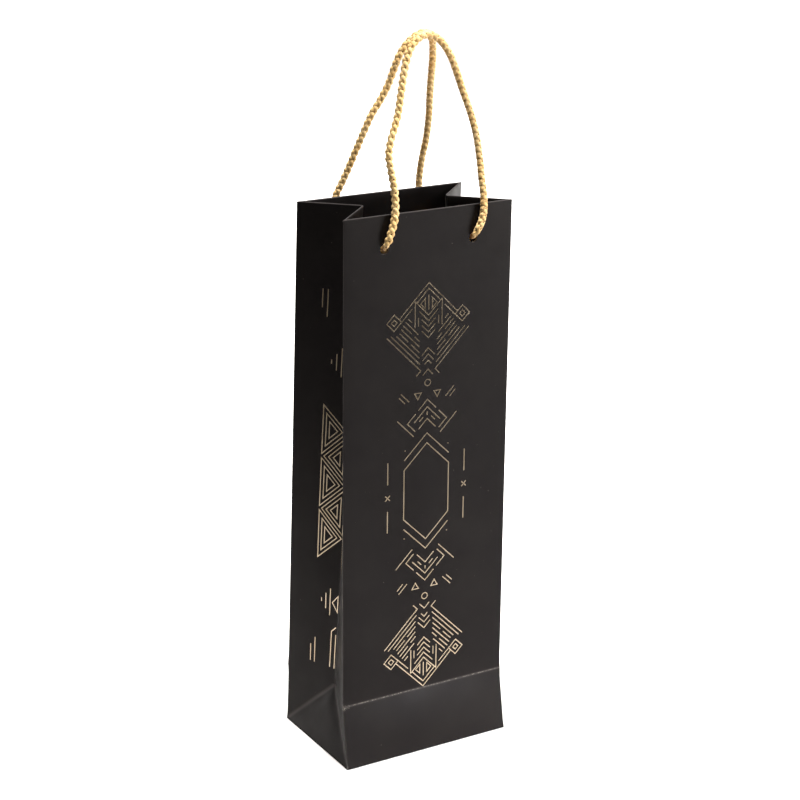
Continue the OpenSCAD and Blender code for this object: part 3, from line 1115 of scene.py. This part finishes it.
def plait(name, route, diameter, roll, both_pinched=True):
    """A round four-strand plait along a route: two strands wind one way, two the other, over and under in turn.
    It narrows where it passes through a hole; `roll` turns the whole plait about its line."""
    pitch = PLAIT_PITCH * diameter
    line, length = curve_through(route, pitch / RINGS_PER_PITCH)
    frames = carried_frames(line)
    middle_r, weave = 0.255 * diameter, 0.062 * diameter
    thick, wide = 0.182 * diameter, 0.262 * diameter
    ring_sets, rounds, alongs, outsides, hole_shades = [], [], [], [], []
    for strand in range(STRANDS):
        way = 1 if strand % 2 else -1
        start = math.pi * (strand // 2)
        rings = []
        for k, (at, (along, across, other)) in enumerate(zip(line, frames)):
            s = length * k / (len(line) - 1)
            from_end = min(s, length - s) if both_pinched else s
            size = PINCH + (1 - PINCH) * smooth(from_end / PINCH_LENGTH)
            turn = way * (2 * math.pi * s / pitch + start) + roll
            radius = middle_r + way * weave * math.cos(4 * math.pi * s / pitch + 2 * start)
            out = across * math.cos(turn) + other * math.sin(turn)
            around = other * math.cos(turn) - across * math.sin(turn)
            lead = (along * pitch + around * way * 2 * math.pi * middle_r).normalized()
            flat_way = out.cross(lead).normalized()
            centre = at + out * radius * size
            loop = []
            for j in range(STRAND_SIDES):
                a = 2 * math.pi * j / STRAND_SIDES
                yarn = size * (1 + 0.04 * math.cos(3 * a + 2 * math.pi * s / (0.9 * diameter) * way))
                spot = centre + out * (math.cos(a) * thick * yarn) + flat_way * (math.sin(a) * wide * yarn)
                loop.append(spot)
                rounds.append(j / STRAND_SIDES)
                alongs.append(s * way)
                # How far each point lies from the cord's line; the material paints shade in the grooves from it.
                outsides.append((spot - at).length / (diameter * size))
                # Painted shade near each end, where the cord goes into its hole
                hole_shades.append(1 - smooth(from_end / HOLE_SHADE_LENGTH) if both_pinched else 0.0)
            rings.append(loop)
        ring_sets.append(rings)
    vertices, faces = tube(ring_sets)
    made = link(name, vertices, faces, [CORD])
    store(made, "round", rounds)
    store(made, "along", alongs)
    store(made, "outside", outsides)
    store(made, "hole_shade", hole_shades)
    return made, line, length


def wall_route(wall, route):
    return [wall.at(x * MM, -out * MM, wall.length + up * MM) for x, out, up in route]


def knot_route(wall, side):
    """Through the hole, round an overhand knot behind the turned edge and out as a short hanging tail."""
    hole_up = wall.length - HOLE_DROP
    centre_depth = HEM_DEPTH + 5.0 * MM
    swing, half_depth = 1.32 * MM, 2.6 * MM
    route = [(0, 1.0 * MM, 0), (0, 1.9 * MM, 0)]
    start, sweep, count = 0.35, 5.6, 22
    for k in range(count + 1):
        t = start + sweep * k / count
        across = swing * (math.sin(t) + 2 * math.sin(2 * t))
        up = swing * (math.cos(t) - 2 * math.cos(2 * t))
        route.append((side * across, centre_depth - half_depth * math.sin(3 * t), up))
    route += [(side * -2.5 * MM, centre_depth, -9 * MM), (side * -3.4 * MM, centre_depth, -14.5 * MM)]
    return [wall.at(side * HOLE_X + x, depth, hole_up + up) for x, depth, up in route]


def make_knot(name, body, wall, side):
    knot, _, _ = plait(f"{name}_tied", knot_route(wall, side), KNOT_D, 0.0, both_pinched=False)
    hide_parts(name)
    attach(knot, body)
    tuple(wall.inward)
    wall.at(0, HEM_DEPTH, 0)
    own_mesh(knot)
    return knot


BEND_OVER = 12 * MM


def make_handle(name, wall, route, roll):
    cord, line, length = plait(f"{name}_plait", wall_route(wall, route), CORD_D, roll)
    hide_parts(name)
    hole_up = wall.length - HOLE_DROP
    wall.at(0, 0, hole_up)
    wall.at(0, 0, hole_up + BEND_OVER)
    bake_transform(cord)
    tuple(line[0])


def make_handles():
    for name, wall, route, roll in (("front", FRONT, FRONT_ROUTE, 2.6), ("back", BACK, BACK_ROUTE, 2.9)):
        body = f"{name}_wall"
        knots = [make_knot(f"{name}_{side}_knot", body, wall, SIDES[side]) for side in SIDES]
        make_handle(f"{name}_cord", wall, route, roll)


# ---- CAD nodes that stay ----
def dress(node, material):
    piece = frame["nodes"][node]
    piece.data.materials.clear()
    piece.data.materials.append(material)


def dress_frame():
    for node in ("front_strip", "back_strip", "bottom_board"):
        dress(node, BOARD)
    for node in ("seam_flap", "base_inner_flap", "base_left_tuck", "base_right_tuck"):
        dress(node, PAPER_INNER)
    dress("base_outer_flap", PAPER_OUTER)


# ---- Studio ----
FLOOR_Z = -0.3 * MM
FLOOR_REACH = 8.0
VIEW_WAY = Vector((math.sin(math.radians(CAMERA_YAW)), math.cos(math.radians(CAMERA_YAW)), 0))


def place_lamp(name, data, at, aim, power):
    data.energy = power
    lamp = bpy.data.objects.new(name, data)
    bpy.context.scene.collection.objects.link(lamp)
    turn = (Vector(aim) - Vector(at)).to_track_quat("-Z", "Y").to_matrix().to_4x4()
    lamp.matrix_world = Matrix.Translation(at) @ turn
    lamp.visible_camera = False


def softbox(name, at, aim, size, power, spread=180, tint=(1, 1, 1)):
    data = bpy.data.lights.new(name, "AREA")
    data.color = tint
    data.spread = math.radians(spread)
    data.shape = "RECTANGLE"
    data.size, data.size_y = size
    place_lamp(name, data, at, aim, power)


def pool(name, at, aim, power, half_angle, edge):
    """A spotlight with a soft edge that whitens part of the floor."""
    data = bpy.data.lights.new(name, "SPOT")
    data.spot_size = math.radians(2 * half_angle)
    data.spot_blend = edge
    data.shadow_soft_size = 0.3
    place_lamp(name, data, at, aim, power)


def make_studio():
    corners = [(x * FLOOR_REACH, y * FLOOR_REACH, FLOOR_Z) for x, y in ((-1, -1), (1, -1), (1, 1), (-1, 1))]
    material, _, bsdf = shader("floor", 0.9)
    bsdf.inputs["Base Color"].default_value = (0.88, 0.85, 0.82, 1)
    bsdf.inputs["Specular IOR Level"].default_value = 0.0
    floor = link("floor", corners, [[0, 1, 2, 3]], [material], shade_smooth=False)
    world = bpy.data.worlds.new("world")
    bpy.context.scene.world = world
    world.use_nodes = True
    backdrop = world.node_tree.nodes["Background"]
    backdrop.inputs["Color"].default_value = (0.9, 0.9, 0.92, 1)
    backdrop.inputs["Strength"].default_value = 0.06
    up = Vector((0, 0, 1))
    softbox("low_right", (1.0, -1.0, 0.3), (0, 0, 0.34), (0.6, 0.5), 1.7, 60)
    softbox("high_right", (0.98, -0.6, 1.1), (0, 0, 0.36), (0.6, 0.6), 1.8, 50)
    softbox("band_strip", (0.6, -1.05, 0.22), (0, 0, 0.04), (0.7, 0.2), 0.4, 26, (0.88, 0.94, 1))
    pool("near_pool", VIEW_WAY * -0.34 + up * 3, VIEW_WAY * 0.81, 430, 21, 0.12)
    pool("top_pool", VIEW_WAY * 0.1 + up * 3, VIEW_WAY * 1.15, 950, 20, 0.25)
    softbox("far_floor", VIEW_WAY * 3.6 + up * 2.2, VIEW_WAY * 3.6, (3.2, 3.2), 120)
    bpy.context.scene.view_settings.view_transform = "Standard"


make_camera()
make_handles()
make_walls()
wall_hem("front_hem", "front_wall", FRONT, 1)
wall_hem("back_hem", "back_wall", BACK, -1)
make_sides()
make_foil()
dress_frame()
make_studio()
